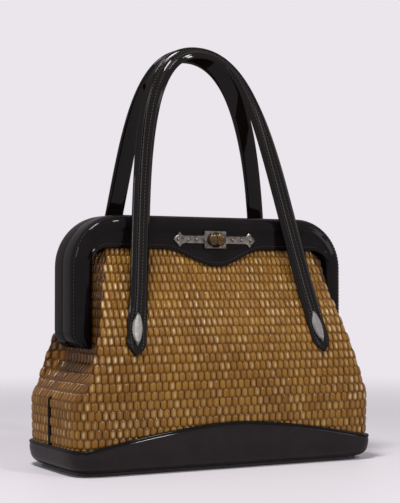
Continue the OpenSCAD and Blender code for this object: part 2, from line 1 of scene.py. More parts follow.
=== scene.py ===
import bpy
import bmesh
import numpy as np
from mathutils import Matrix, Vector


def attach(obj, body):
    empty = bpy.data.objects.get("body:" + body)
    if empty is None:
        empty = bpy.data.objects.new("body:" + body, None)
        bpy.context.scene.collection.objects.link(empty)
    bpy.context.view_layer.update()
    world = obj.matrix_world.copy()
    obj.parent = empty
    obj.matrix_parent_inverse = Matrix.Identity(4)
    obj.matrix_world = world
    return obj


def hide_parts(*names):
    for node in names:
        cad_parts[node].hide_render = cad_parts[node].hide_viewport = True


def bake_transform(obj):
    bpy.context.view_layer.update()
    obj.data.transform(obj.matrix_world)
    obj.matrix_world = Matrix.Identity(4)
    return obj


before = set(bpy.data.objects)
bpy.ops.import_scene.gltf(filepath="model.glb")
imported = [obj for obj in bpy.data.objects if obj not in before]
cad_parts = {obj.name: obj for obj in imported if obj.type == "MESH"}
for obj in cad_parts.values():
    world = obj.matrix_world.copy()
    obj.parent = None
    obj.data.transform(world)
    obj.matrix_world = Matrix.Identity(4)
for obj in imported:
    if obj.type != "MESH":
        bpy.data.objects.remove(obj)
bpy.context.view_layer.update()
mm = 0.001  # all shapes below are worked out in millimetres
dice = np.random.default_rng(11)


def toLinear(hexColour):
    # sRGB hex to linear rgba
    c = np.array([int(hexColour[i:i + 2], 16) for i in (1, 3, 5)]) / 255
    lin = np.where(c <= 0.04045, c / 12.92, ((c + 0.055) / 1.055) ** 2.4)
    return (*lin.tolist(), 1.0)


def ease(t):
    # 0 to 1 with a soft start and a soft end
    c = np.clip(t, 0, 1)
    return c * c * (3 - 2 * c)


def unit(v):
    return v / np.maximum(np.linalg.norm(v, axis=-1, keepdims=True), 1e-9)


def fullTurn(steps):
    return np.linspace(0, 2 * np.pi, steps, endpoint=False)


def runOf(path):
    # distance along a polyline at each of its points
    return np.concatenate([[0], np.cumsum(np.linalg.norm(np.diff(path, axis=0), axis=1))])


def spaced(path, gap, *others):
    # points at equal steps along a polyline, and other values carried at the same places
    run = runOf(path)
    at = np.linspace(0, run[-1], max(2, int(round(run[-1] / gap)) + 1))
    return [np.stack([np.interp(at, run, v[:, k]) for k in range(v.shape[1])], -1) for v in (path, *others)]


def surface(name, pts, closeU=False, closeV=False, weld=False, slotOf=None, sharp=None, **marks):
    # pts is (strips, u, v, 3): every strip is a grid of quads, its outside along du x dv
    pts = np.asarray(pts, float)
    pts = pts[None] if pts.ndim == 3 else pts
    n, nu, nv = pts.shape[:3]
    i = np.arange(nu if closeU else nu - 1)[None, :, None]
    j = np.arange(nv if closeV else nv - 1)[None, None, :]
    b = np.arange(n)[:, None, None] * nu * nv
    k, l = (i + 1) % nu, (j + 1) % nv
    quads = np.stack([b + i * nv + j, b + k * nv + j, b + k * nv + l, b + i * nv + l], -1).reshape(-1, 4)
    mesh = bpy.data.meshes.new(name)
    mesh.from_pydata((pts.reshape(-1, 3) * mm).tolist(), [], quads.tolist())
    mesh.polygons.foreach_set("use_smooth", np.ones(len(quads), bool))
    for key, values in marks.items():
        layer = mesh.attributes.new(key, "FLOAT", "POINT")
        layer.data.foreach_set("value", np.broadcast_to(values, (n, nu, nv)).ravel().astype(np.float32))
    if slotOf is not None:
        index = np.broadcast_to(slotOf, (n, i.size, j.size)).ravel().astype(np.int32)
        mesh.polygons.foreach_set("material_index", index)
    obj = bpy.data.objects.new(name, mesh)
    bpy.context.collection.objects.link(obj)
    if weld:
        bm = bmesh.new()
        bm.from_mesh(mesh)
        bmesh.ops.remove_doubles(bm, verts=bm.verts, dist=1e-6)
        bmesh.ops.recalc_face_normals(bm, faces=bm.faces)
        bm.to_mesh(mesh)
        bm.free()
    if sharp:
        mesh.set_sharp_from_angle(angle=np.radians(sharp))
    mesh.update()
    return obj


def paint(obj, *materials):
    obj.data.materials.clear()
    for material in materials:
        obj.data.materials.append(material)
    return obj


def addNode(tree, kind, links=None, stops=None, **settings):
    # one node with its settings; links maps a socket to a value or to another node's output
    made = tree.nodes.new(kind)
    for key, value in settings.items():
        setattr(made, key, value)
    for key, value in (links or {}).items():
        if isinstance(value, bpy.types.NodeSocket):
            tree.links.new(value, made.inputs[key])
        else:
            made.inputs[key].default_value = value
    for n, (place, colour) in enumerate(stops or []):
        ramp = made.color_ramp.elements
        stop = ramp[n] if n < 2 else ramp.new(place)
        stop.position, stop.color = place, toLinear(colour)
    return made


def startMaterial(name, **sockets):
    material = bpy.data.materials.new(name)
    material.use_nodes = True
    shader = material.node_tree.nodes["Principled BSDF"]
    for key, value in sockets.items():
        shader.inputs[key.replace("_", " ")].default_value = value
    return material, material.node_tree, shader


def wire(tree, shader, **sockets):
    for key, output in sockets.items():
        tree.links.new(output, shader.inputs[key.replace("_", " ")])


def objectPlace(tree):
    return addNode(tree, "ShaderNodeTexCoord").outputs["Object"]


def mark(tree, name):
    # a value that surface() stored on the mesh
    return addNode(tree, "ShaderNodeAttribute", attribute_name=name).outputs["Fac"]


def noise(tree, place, width, detail, roughness=0.5):
    # noise whose blotches are about this many millimetres apart
    sockets = {"Vector": place, "Scale": 1 / (width * mm), "Detail": detail, "Roughness": roughness}
    return addNode(tree, "ShaderNodeTexNoise", sockets).outputs["Fac"]


def combine(tree, operation, first, second):
    return addNode(tree, "ShaderNodeMath", {0: first, 1: second}, operation=operation).outputs[0]


def remap(tree, value, **ends):
    # ends are named as the node's sockets are, with _ for a space
    sockets = {key.replace("_", " "): end for key, end in ends.items()}
    return addNode(tree, "ShaderNodeMapRange", {"Value": value, **sockets}).outputs[0]


def mixColour(tree, amount, first, second):
    # each colour is a hex text or another node's output
    ends = [toLinear(c) if isinstance(c, str) else c for c in (first, second)]
    return addNode(tree, "ShaderNodeMix", {0: amount, 6: ends[0], 7: ends[1]}, data_type="RGBA").outputs[2]


def relief(tree, height, strength, depth, **below):
    # bump of this depth in millimetres
    sockets = {"Height": height, "Strength": strength, "Distance": depth * mm, **below}
    return addNode(tree, "ShaderNodeBump", sockets).outputs[0]


# Varnished cane: split rattan with a thin gloss skin, each strand its own brown
def makeCane(name, shadeStop, dark, mid, light, pitShade, glintColour):
    material, tree, shader = startMaterial(name, IOR=1.5, Specular_IOR_Level=0.0, Coat_Weight=0.42,
                                           Coat_Roughness=0.1)
    place = objectPlace(tree)
    # fibre streaks, ten times as long as wide
    streak = addNode(tree, "ShaderNodeMapping", {"Vector": place, "Scale": (1, 1, 0.1)}).outputs[0]
    fibre, patch = noise(tree, streak, 1.2, 3.0), noise(tree, place, 38, 2.0)
    mixed = combine(tree, "ADD", combine(tree, "ADD", mark(tree, "tone"), fibre), patch)
    level = remap(tree, mixed, From_Min=0.62, From_Max=1.95)
    # the darkest stop is reached mostly where the gussets' painted shade lowers the tone
    stops = [(0, shadeStop), (1, light), (0.28, dark), (0.55, mid)]
    colour = addNode(tree, "ShaderNodeValToRGB", {"Fac": level}, stops=stops).outputs["Color"]
    # painted glints: the glint mark mixes the crowns towards a pale colour, standing in for small highlights
    pale = mixColour(tree, mark(tree, "wear"), colour, glintColour)
    # painted shade: the low parts of the weave are mixed towards the dark pit colour
    depth = remap(tree, mark(tree, "rise"), From_Min=-0.5, From_Max=0.75)
    wire(tree, shader, Base_Color=mixColour(tree, depth, pitShade, pale),
         Roughness=remap(tree, fibre, To_Min=0.3, To_Max=0.5), Normal=relief(tree, fibre, 0.25, 0.1))
    return material


# Patent leather: black split hide under a poured lacquer, mirror-like, gently uneven
def makePatent(name, colour, haze, coat=0.2):
    material, tree, shader = startMaterial(name, IOR=1.5, Specular_IOR_Level=0.0, Coat_Weight=coat,
                                           Coat_Roughness=0.05, Coat_IOR=1.5)
    place = objectPlace(tree)
    # slow ripples 14 mm apart from the hide, and a pebble of 1.1 mm under the lacquer
    ripple, pebble = noise(tree, place, 14, 1.0), noise(tree, place, 1.1, 2.0)
    uneven = relief(tree, ripple, 0.35, 0.4, Normal=relief(tree, pebble, 0.2, 0.05))
    wire(tree, shader, Base_Color=mixColour(tree, ripple, colour, haze),
         Roughness=remap(tree, pebble, To_Min=0.3, To_Max=0.46), Normal=uneven, Coat_Normal=uneven)
    return material


# Cut or suede leather: matt, with a 0.8 mm nap and darker blotches
def makeRawLeather(name, dark, light, rough):
    material, tree, shader = startMaterial(name, IOR=1.45, Roughness=rough)
    place = objectPlace(tree)
    blotch, nap = noise(tree, place, 9, 4.0), noise(tree, place, 0.8, 2.0)
    wire(tree, shader, Base_Color=mixColour(tree, blotch, dark, light), Normal=relief(tree, nap, 0.5, 0.12))
    return material


# Cast or rolled metal: metallic, with tarnish gathering in 3 mm patches
def makeMetal(name, bright, tarnish, rough, spread):
    material, tree, shader = startMaterial(name, Metallic=1.0)
    cloud = noise(tree, objectPlace(tree), 3, 5.0, roughness=0.65)
    level = remap(tree, cloud, From_Min=0.3, From_Max=0.7)
    wire(tree, shader, Base_Color=mixColour(tree, level, tarnish, bright),
         Roughness=remap(tree, level, To_Min=rough + spread, To_Max=rough), Normal=relief(tree, cloud, 0.12, 0.08))
    return material


# Woven lining cloth: twill with threads 0.9 mm apart, drawn coarse enough to show
def makeCloth(name, dark, light):
    material, tree, shader = startMaterial(name, Roughness=0.9, Sheen_Weight=0.25)
    # the node's bands lie 0.314 apart at scale 1
    sockets = {"Vector": objectPlace(tree), "Scale": 0.314 / (0.9 * mm), "Distortion": 0.6}
    wave = addNode(tree, "ShaderNodeTexWave", sockets, wave_type="BANDS", bands_direction="DIAGONAL").outputs["Fac"]
    wire(tree, shader, Base_Color=mixColour(tree, wave, dark, light), Normal=relief(tree, wave, 0.4, 0.1))
    return material


cane = makeCane("varnishedCane", "#3a2208", "#68400d", "#7e5314", "#9a6f29", "#57350c", "#f4dfb4")
# the rods' cane is a darker copy of the strands' cane: painted shade behind the strands
shadedCaneCore = makeCane("shadedCaneCore", "#34200b", "#4c2d0e", "#5c3914", "#6b471a", "#341d08", "#6b471a")
patent = makePatent("patentLeather", "#0f0b0c", "#191415")
# the band's patent has more lacquer and a lighter colour; the lighter colour is a painted reflection of the pale
# floor
bandPatent = makePatent("bandPatentLeather", "#171213", "#241d1f", 0.36)
strapPatent = makePatent("strapPatentLeather", "#0b0807", "#150f0c", 0.34)
edgeLeather = makeRawLeather("burnishedEdge", "#2a1a12", "#4a2f1f", 0.5)
underLeather = makeRawLeather("greyUnderside", "#4a413b", "#685c54", 0.6)
soleLeather = makeRawLeather("soleLeather", "#1d120e", "#33211a", 0.42)
pewter = makeMetal("agedPewter", "#87817a", "#3d3833", 0.3, 0.22)
bronze = makeMetal("darkBronze", "#6f5b41", "#2a2018", 0.2, 0.2)
silver = makeMetal("brushedSilver", "#787674", "#676461", 0.36, 0.06)
steel = makeMetal("nickelSteel", "#b4b4b2", "#85837f", 0.3, 0.12)
thread = makeRawLeather("waxedThread", "#2e2824", "#4b433c", 0.5)
darkThread = makeRawLeather("blackThread", "#0e0b0a", "#1c1715", 0.5)
lining = makeCloth("liningTwill", "#3b2c1d", "#5c4830")
boardCard = makeRawLeather("greyBoard", "#8b7453", "#a98f6b", 0.85)
print("materials made")


# Woven body: plan is a superellipse whose half width, half depth and powers change with height
bag = dict(halfWidth=149, halfDepth=63, shoulder=62, mouthX=104.5, neckZ=192, neckY=21.65,
           topZ=194, footZ=16, pinchX=117.9, pinchZ=96, foldPower=10, footInX=1.5, footInY=3,
           slope=(1.14, 0.5, -0.64), powerX=(16, 8), powerY=(6, 3), powerRun=60, mouthRun=10, foldBend=0.05)


def belowShoulder(z):
    return ((bag["shoulder"] - z) / bag["shoulder"]) ** 2


def halfY(z):
    s = (z - bag["shoulder"]) / (bag["neckZ"] - bag["shoulder"])
    low = bag["halfDepth"] - bag["footInY"] * belowShoulder(z)
    k2, k3, k4 = bag["slope"]
    high = bag["halfDepth"] - (bag["halfDepth"] - bag["neckY"]) * (k2 * s ** 2 + k3 * s ** 3 + k4 * s ** 4)
    return np.where(z <= bag["shoulder"], low, high)


def panelY(z):
    return float(halfY(np.array(float(z))))


def sideX(z):
    low = bag["halfWidth"] - bag["footInX"] * belowShoulder(z)
    t = (bag["pinchZ"] - z) / (bag["pinchZ"] - bag["shoulder"])
    flare = bag["pinchX"] + (bag["halfWidth"] - bag["pinchX"]) * (0.5 * ease(t) + 0.5 * np.clip(t, 0, 1))
    mouth = ease((z - bag["topZ"] + bag["mouthRun"]) / bag["mouthRun"])
    high = flare - (bag["pinchX"] - bag["mouthX"] - 1) * mouth
    return np.where(z <= bag["shoulder"], low, high)


def planPower(z):
    s = np.clip((z - bag["shoulder"]) / bag["powerRun"], 0, 1)
    return [low + more * s for low, more in (bag["powerX"], bag["powerY"])]


def foldX(z):
    px = 0.5 ** (1 / planPower(z)[0])
    t = np.clip((bag["topZ"] - z) / (bag["topZ"] - bag["shoulder"]), 0, 1)
    shoulderX = bag["halfWidth"] * 0.5 ** (1 / bag["powerX"][0])
    bend = (1 - bag["foldBend"]) * t + bag["foldBend"] * t ** 5
    return np.where(z <= bag["shoulder"], sideX(z) * px, bag["mouthX"] + (shoulderX - bag["mouthX"]) * bend)


def bare(side, s, z, d=0.0, flare=1.0):
    # point of the wall; side 0 front, 1 right, 2 back, 3 left; s from -1 to 1 anticlockwise
    s, z = np.broadcast_arrays(np.asarray(s, float), np.asarray(z, float))
    powX, powY = planPower(z)
    foldP, foldQ = 0.5 ** (1 / powX), 0.5 ** (1 / powY)
    t = 0.5 * s + 0.5 * np.sin(np.pi / 2 * s)
    if side % 2 == 0:
        v = t * foldP
        w = np.maximum(0, 1 - np.abs(v) ** powX) ** (1 / powY)
        p, q = (v, -w) if side == 0 else (-v, w)
    else:
        v = t * foldQ
        w = np.maximum(0, 1 - np.abs(v) ** powY) ** (1 / powX)
        p, q = (w, v) if side == 1 else (-w, -v)
    reach = foldX(z) / foldP - sideX(z)
    reach = np.where(reach > 0, flare * reach, reach)
    x = p * (sideX(z) + d + reach * np.minimum(1, np.abs(q) / foldQ) ** bag["foldPower"])
    return np.stack(np.broadcast_arrays(x, q * (halfY(z) + d), z), -1)


def wall(side, s, z, d):
    # point d outside the wall, along its normal, which small steps along s and z give
    s, z, d = np.broadcast_arrays(np.asarray(s, float), np.asarray(z, float), np.asarray(d, float))
    across = bare(side, s + 0.02, z) - bare(side, s - 0.02, z)
    up = bare(side, s, z + 0.8) - bare(side, s, z - 0.8)
    return bare(side, s, z) + d[..., None] * unit(np.cross(across, up))


def evenly(side, z, share):
    # s at the given shares of a side's length, measured afresh at each height
    s = np.linspace(-1.06, 1.06, 1201)
    found = np.zeros((*share.shape[:-1], z.size))
    for k, level in enumerate(z):
        run = runOf(bare(side, s, level))
        first, last = np.interp([-1, 1], s, run)
        found[..., k] = np.interp(share[..., k], (run - first) / (last - first), s)
    return found


# sizes of the weave, its random tones, the painted glints on the crowns and the painted shade on the gussets
weave = dict(pitch=2.87, rows=23, swell=0.8, lean=-0.03, thick=1.2, crest=0.3, fill=0.93, sharp=2.3, roll=0.16,
             across=7, perRow=7, narrowing=(0.42, 0.3), dive=0.1, shift=0.05, uneven=0.06,
             strandTone=(0.18, 0.42), floatTone=(0.12, 0.38), glintPower=2.4, wear=0.45,
             crownAt=(30, 60, 90, 120), crown=(0, 0.2, 1, 0), paintedShade=0.55, shadePit=0.35, shadeDimsGlint=0.6)
weave["row"] = (bag["topZ"] - bag["footZ"]) / weave["rows"]


def perFloat(values, row):
    # one value for each strand and row, spread over the strand's points
    return values[:, None, :][:, :, row]


def wovenSide(name, side, length, first, last):
    # strand i goes over one row and under the next, out of step with its neighbours: its lift is a
    # squared-off sine of height, its section half an ellipse, narrower where it dives
    w = weave
    count = int(round(length / w["pitch"]))
    i = np.arange(round(count * (first + 1) / 2), round(count * (last + 1) / 2))[:, None, None]
    n = len(i)
    a = np.linspace(0, np.pi, w["across"])[None, :, None]
    z = np.linspace(bag["footZ"], bag["topZ"], w["rows"] * w["perRow"] + 1)
    row = np.clip(((z - bag["footZ"]) / w["row"]).astype(int), 0, w["rows"] - 1)
    turn = np.pi * (z - bag["footZ"]) / w["row"] + np.pi * (i % 2)
    lift = np.tanh(w["sharp"] * np.sin(turn)) / np.tanh(w["sharp"])
    # sides narrow towards the mouth; each float stands upright all the same
    upright = (i / count - 0.5) * w["narrowing"][side % 2] * (z > bag["shoulder"])
    spot = i + 0.5 + dice.normal(0, w["shift"], (n, 1, 1)) - (w["lean"] + upright) * np.cos(turn)
    spot = spot - w["fill"] * np.cos(a) * (1 - w["dive"] + w["dive"] * lift)
    at = evenly(side, z, spot / count)
    size = dice.normal(1, w["uneven"], (n, 1, 1))
    d = w["crest"] - w["thick"] + w["swell"] * (lift - 1) + w["thick"] * size * np.sin(a)
    # no two floats lie quite alike: each is rolled a few degrees
    roll = perFloat(dice.normal(0, w["roll"], (n, w["rows"])), row)
    d = d + roll * np.cos(a) * np.maximum(lift, 0)
    pts = wall(side, at, np.broadcast_to(z, at.shape), d)
    tone = dice.uniform(*w["strandTone"], n)[:, None, None]
    tone = tone + perFloat(dice.uniform(*w["floatTone"], (n, w["rows"])), row)
    # painted shade: rise is low in the pits between floats and down each strand's sides, and darkens them
    rise = 0.85 * lift + 0.85 * np.sin(a) - 0.7
    # painted glints: crowns painted pale, a little to one side of the middle, some much more than others, and paler
    # near the panels' fold edges, where rubbed wear and a painted highlight of the fold are both meant
    glintDice = perFloat(dice.uniform(0, 1, (n, w["rows"])), row) ** w["glintPower"]
    crown = np.interp(np.degrees(a), w["crownAt"], w["crown"])
    edge = 1 + (1 - side % 2) * ease((np.abs(2 * i / count - 1) - 0.66) / 0.3)
    wear = w["wear"] * edge * glintDice * crown * ease((np.sin(turn) - 0.5) / 0.4)
    # painted shade: the gussets are painted darker where they fold in under the frame, and again beside its legs,
    # where the frame shades them; there the pits are painted darker and the glints dimmer
    folded, beside = ease((z - bag["shoulder"] + 8) / 30), ease((z - bag["pinchZ"]) / 16)
    paintedShade = (side % 2) * (w["paintedShade"] * folded + w["paintedShade"] * beside)
    return paint(surface(name, pts, tone=tone - paintedShade, rise=rise - w["shadePit"] * paintedShade,
                         wear=wear * (1 - w["shadeDimsGlint"] * paintedShade)), cane)


rod = dict(depth=2.1, ripple=0.3, lap=1.02, across=60, perRow=5)


def wovenBack(name, side, first, last):
    # rods behind the strands: one ripple to a row
    s = np.linspace(first * rod["lap"], last * rod["lap"], rod["across"])[:, None]
    z = np.linspace(bag["footZ"], bag["topZ"] - 1, weave["rows"] * rod["perRow"])[None, :]
    d = -rod["depth"] - rod["ripple"] * np.cos(2 * np.pi * (z - bag["footZ"]) / weave["row"])
    # painted shade: the rods take the darker cane copy and a low rise
    return paint(surface(name, wall(side, s, z, d), tone=0.4, rise=0.2), shadedCaneCore)


sides = dict(frontPanel=0, rightGusset=1, backPanel=2, leftGusset=3)
sideLength = (261, 99)
cadName = dict(frontPanel="front_panel", rightGusset="right_gusset",
               backPanel="back_panel", leftGusset="left_gusset")
clothSize = dict(drop=4.6, low=8.5, high=186, sag=0.5, across=49, up=61)
# part of each side, from s to s, and the half of the frame it is sewn to; a gusset parts at its middle line
sewn = dict(frontPanel=[("", "front", -1, 1)], backPanel=[("", "back", -1, 1)],
            rightGusset=[("Front", "front", -1, 0), ("Back", "back", 0, 1)],
            leftGusset=[("Back", "back", -1, 0), ("Front", "front", 0, 1)])


def hold(obj):
    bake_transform(obj)
    return obj


for key, side in sides.items():
    for tag, lead, first, last in sewn[key]:
        strands = hold(wovenSide(key + tag + "Weave", side, sideLength[side % 2], first, last))
        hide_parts(cadName[key])
        rods = hold(wovenBack(key + tag + "Rods", side, first, last))
        # lining: the same wall, inside the rods, with a slight sag
        s = np.linspace(first, last, clothSize["across"])[:, None]
        z = np.linspace(clothSize["low"], clothSize["high"], clothSize["up"])[None, :]
        sag = clothSize["sag"] * np.sin(z / 9 + 3 * s) * np.cos(2.3 * s)
        pts = bare(side, s, z, -clothSize["drop"] + sag, 0)
        cloth = hold(paint(surface(key + tag + "Lining", pts), lining))
        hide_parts("lining")
print("weave and lining made")


# Base band: rolled under at the foot, one long wave along each face
base = dict(low=20, wave=19, waveReach=0.93, wavePower=1.6, roll=9, rollSteps=9, soleT=4, lap=1.5, out=2.0,
            puff=0.5, inside=-0.3, perFace=110, perEnd=56, pipeR=1.6, pipeOut=1.0, pipeUp=0.7, pipeSteps=10)


def bandTop(x):
    reach = np.abs(x) / (bag["halfWidth"] * base["waveReach"])
    return base["low"] + base["wave"] * np.maximum(0, 1 - reach ** base["wavePower"])


def ringSpots(perFace, perEnd):
    # side and s for a full turn round the plan
    faces = [(k, s) for k, n in ((0, perFace), (1, perEnd), (2, perFace), (3, perEnd))
             for s in np.linspace(-1, 1, n, endpoint=False)]
    return np.array([f[0] for f in faces]), np.array([f[1] for f in faces])


def ringWall(sideOf, sOf, z, d):
    pts = np.zeros((*np.broadcast_shapes(z.shape, d.shape), 3))
    z, d = np.broadcast_to(z, pts.shape[:2]), np.broadcast_to(d, pts.shape[:2])
    for side in range(4):
        pick = sideOf == side
        pts[pick] = bare(side, sOf[pick][:, None], z[pick], d[pick])
    return pts


sideOf, sOf = ringSpots(base["perFace"], base["perEnd"])
flatX = ringWall(sideOf, sOf, np.full((len(sOf), 1), float(base["low"])), np.zeros((1, 1)))[:, 0, 0]
bandEdge = np.where(sideOf % 2 == 0, bandTop(flatX), base["low"])[:, None]
bow = np.radians(np.linspace(0, 90, base["rollSteps"]))[None, :] + 0 * bandEdge
rollZ = base["soleT"] - base["lap"] + base["roll"] * (1 - np.cos(bow))
rollD = base["out"] - base["roll"] * (1 - np.sin(bow))
riseT = np.linspace(0, 1, 12)[None, 1:]
riseZ = rollZ[:, -1:] + (bandEdge - rollZ[:, -1:]) * riseT
riseD = base["out"] + base["puff"] * np.sin(np.pi * riseT) + 0 * riseZ
# the lip turns in over the weave and runs down behind the edge
lipZ = bandEdge + np.array([[0.4, 0.3, -4]])
lipD = np.array([[base["out"] - 0.7, base["inside"] - 0.3, base["inside"] - 0.6]]) + 0 * lipZ
bandZ, bandD = np.concatenate([rollZ, riseZ, lipZ], 1), np.concatenate([rollD, riseD, lipD], 1)
band = paint(surface("baseBand", ringWall(sideOf, sOf, bandZ, bandD), closeU=True), bandPatent)
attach(band, "body")
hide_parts("front_base_band", "back_base_band")

pipeTurn = fullTurn(base["pipeSteps"])[None, :]
pipeZ = bandEdge + base["pipeR"] * (base["pipeUp"] + np.sin(pipeTurn))
pipeD = base["pipeOut"] + base["pipeR"] * np.cos(pipeTurn)
pts = ringWall(sideOf, sOf, pipeZ, pipeD)
pipe = paint(surface("basePiping", pts, closeU=True, closeV=True, weld=True), patent)
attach(pipe, "body")
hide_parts("base_piping")

# Side seams: a flat piping laid on the gusset from the base to the shoulder, its top tucked in
seam = dict(halfWidth=1.9, proud=1.5, off=0.2, top=66, tuck=5, lap=8, steps=40, around=12)
for sign, name in ((-1, "left"), (1, "right")):
    z = np.linspace(base["low"] - seam["lap"], seam["top"], seam["steps"])[:, None]
    a = fullTurn(seam["around"])[None, :]
    shrink = np.sqrt(np.clip((seam["top"] - z) / seam["tuck"], 0, 1))
    x = sign * (sideX(z) + shrink * (seam["off"] + seam["proud"] * np.cos(a)))
    y = seam["halfWidth"] * shrink * np.sin(a)
    pts = np.stack([x, y, z + 0 * a], -1)
    piping = paint(surface(name + "SideSeam", pts, closeV=True, weld=True), patent)
    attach(piping, "body")
    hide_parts(name + "_side_piping")
print("base made")


# Frame halves: a padded section carried up one leg, round the corner, along the bar and down
rim = dict(halfWidth=137.5, top=222, depth=24, width=17, footZ=105, cornerR=46, edgeR=8, innerR=3.2,
           backR=0.9, hingeZ=114, seam=0.2, relief=29, crown=0.5, stitchLean=40, stitchUp=0.1, stitchFrom=3)
rimSteps = dict(foot=16, leg=13, corner=21, bar=38)


def rimPath():
    # inner edge, outward direction and width along the left half, then mirrored
    r, steps = rim, rimSteps
    inX, legEnd, cornerZ = r["halfWidth"] - r["width"], r["footZ"] + r["width"], r["top"] - r["cornerR"]
    cornerX, inner = r["halfWidth"] - r["cornerR"], r["cornerR"] - r["width"]
    upright = np.ones(steps["foot"] + steps["leg"])
    f = np.linspace(0, np.pi / 2, steps["foot"])
    legZ = np.linspace(legEnd, cornerZ, steps["leg"] + 1)[1:]
    c = np.linspace(np.pi, np.pi / 2, steps["corner"] + 1)[1:]
    x = np.concatenate([-inX * upright, -cornerX + inner * np.cos(c)])
    z = np.concatenate([legEnd - r["width"] * np.cos(f), legZ, cornerZ + inner * np.sin(c)])
    nx, nz = np.concatenate([-upright, np.cos(c)]), np.concatenate([0 * upright, np.sin(c)])
    w = np.concatenate([r["width"] * np.sin(f), np.full(steps["leg"] + steps["corner"], float(r["width"]))])
    bar = np.linspace(-cornerX, cornerX, steps["bar"] + 2)[1:-1]
    level = np.ones_like(bar)
    return (np.concatenate([x, bar, -x[::-1]]), np.concatenate([z, z[-1] * level, z[::-1]]),
            np.concatenate([nx, 0 * level, -nx[::-1]]), np.concatenate([nz, level, nz[::-1]]),
            np.concatenate([w, r["width"] * level, w[::-1]]))


def rimSurface(name, sign):
    r = rim
    x, z, nx, nz, w = (v[:, None] for v in rimPath())
    back = r["seam"] + np.maximum(0, r["hingeZ"] - z) * np.tan(np.radians(r["relief"]))
    outR, inR = np.minimum(r["edgeR"], 0.5 * w), np.minimum(r["innerR"], 0.3 * w)
    backR = np.minimum(r["backR"], 0.2 * w)
    q = np.radians(np.linspace(0, 90, 9))[None, :]
    q4 = q[:, ::2]
    t = np.linspace(0, 1, 7)[None, 1:-1]
    # round the section: back outer corner, front outer edge, crowned face, front inner edge, back inner corner
    a = np.concatenate([w - backR + backR * np.sin(q4), w - outR + outR * np.cos(q),
                        (w - outR) + (inR - w + outR) * t,
                        inR - inR * np.sin(q), backR - backR * np.cos(q4)], 1)
    b = np.concatenate([back + backR - backR * np.cos(q4), r["depth"] - outR + outR * np.sin(q),
                        r["depth"] + np.minimum(r["crown"], 0.04 * w) * np.sin(np.pi * t),
                        r["depth"] - inR + inR * np.cos(q), back + backR - backR * np.sin(q4)], 1)
    pts = np.stack([x + nx * a, sign * np.maximum(b, back), z + nz * a], -1)
    return paint(surface(name, pts, closeV=True, weld=True), patent)


# Facing: hangs from the rim, follows the panel, and dips in a scallop under the clasp
apron = dict(half=120.5, top=207, edge=192.5, dip=15.5, dipHalf=52, cornerR=17, corner=104.7, off=0.35, thick=2.0,
             puff=0.25, puffRun=9, across=181, drop=15, stitchHalf=112, stitchIn=3.4, stitchUp=0.25)


def apronEdge(x):
    a = apron
    dip = a["dip"] * np.where(np.abs(x) < a["dipHalf"], 0.5 + 0.5 * np.cos(np.pi * x / a["dipHalf"]), 0)
    turn = a["cornerR"] - np.sqrt(np.maximum(0, a["cornerR"] ** 2 - np.maximum(0, np.abs(x) - a["corner"]) ** 2))
    return a["edge"] - dip - turn


def apronY(z, off):
    # distance of the facing from the middle plane: flat under the rim, then out with the panel
    return np.where(z >= bag["neckZ"], rim["depth"] - apron["thick"] - apron["off"] + off, halfY(z) + off)


def apronSurface(name, sign):
    # down the outside, round the lip, and a short way up the inside
    a = apron
    x = np.linspace(-a["half"], a["half"], a["across"])[:, None]
    edge = apronEdge(x)
    t = np.linspace(0, 1, a["drop"])[None, :]
    lip = np.radians(np.linspace(20, 180, 7))[None, :]
    lipR = a["thick"] / 2
    z = np.concatenate([a["top"] + (edge + lipR - a["top"]) * t, edge + lipR - lipR * np.sin(lip),
                        edge + lipR + np.array([[3.0, 7.0]])], 1)
    puff = a["puff"] * np.sin(np.pi * np.clip((z - edge) / a["puffRun"], 0, 1))
    off = np.concatenate([np.full((1, a["drop"]), a["off"] + a["thick"]), a["off"] + lipR + lipR * np.cos(lip),
                          np.full((1, 2), a["off"])], 1)
    off = off + np.where(np.arange(off.shape[1]) < a["drop"], 1, 0) * puff
    pts = np.stack([x + 0 * z, sign * apronY(z, off), z], -1)
    pts = pts[:, ::-1] if sign < 0 else pts
    return paint(surface(name, pts), patent)


# Stitches: small spheroids, long along the seam
stitch = dict(rim=dict(gap=3.2, length=2.2, radius=0.34), facing=dict(gap=3.2, length=2.2, radius=0.32),
              strap=dict(gap=3.0, length=2.0, radius=0.33))


def beads(name, centre, along, outward, kind, material):
    side = unit(np.cross(outward, along))
    u = np.linspace(0, np.pi, 6)[None, :, None, None]
    v = fullTurn(7)[None, None, :, None]
    c, t, o, s = (q[:, None, None, :] for q in (centre, along, outward, side))
    length, radius = stitch[kind]["length"], stitch[kind]["radius"]
    pts = c - t * length / 2 * np.cos(u) + radius * np.sin(u) * (s * np.cos(v) + o * np.sin(v))
    return paint(surface(name, pts, closeV=True, weld=True), material)


def rimSeam(sign):
    # one row on the rounded outer edge of the cover, and the way each stitch faces
    x, z, nx, nz, w = rimPath()
    lean, outR = np.radians(rim["stitchLean"]), np.minimum(rim["edgeR"], 0.5 * w)
    a = w - outR + (outR + rim["stitchUp"]) * np.cos(lean)
    b = rim["depth"] - outR + (outR + rim["stitchUp"]) * np.sin(lean)
    line = np.stack([x + nx * a, sign * b, z + nz * a], -1)
    out = np.stack([nx * np.cos(lean), sign * np.sin(lean) + 0 * x, nz * np.cos(lean)], -1)
    keep = w > rim["stitchFrom"]
    path, out = spaced(line[keep], stitch["rim"]["gap"], out[keep])
    return path, unit(out)


def facingSeam(sign):
    # one row along the facing's lower edge
    x = np.linspace(-apron["stitchHalf"], apron["stitchHalf"], 500)
    z = apronEdge(x) + apron["stitchIn"]
    y = sign * apronY(z, apron["off"] + apron["thick"] + apron["stitchUp"])
    path = spaced(np.stack([x, y, z], -1), stitch["facing"]["gap"])[0]
    return path, np.tile(np.array([[0.0, sign, 0.0]]), (len(path), 1))


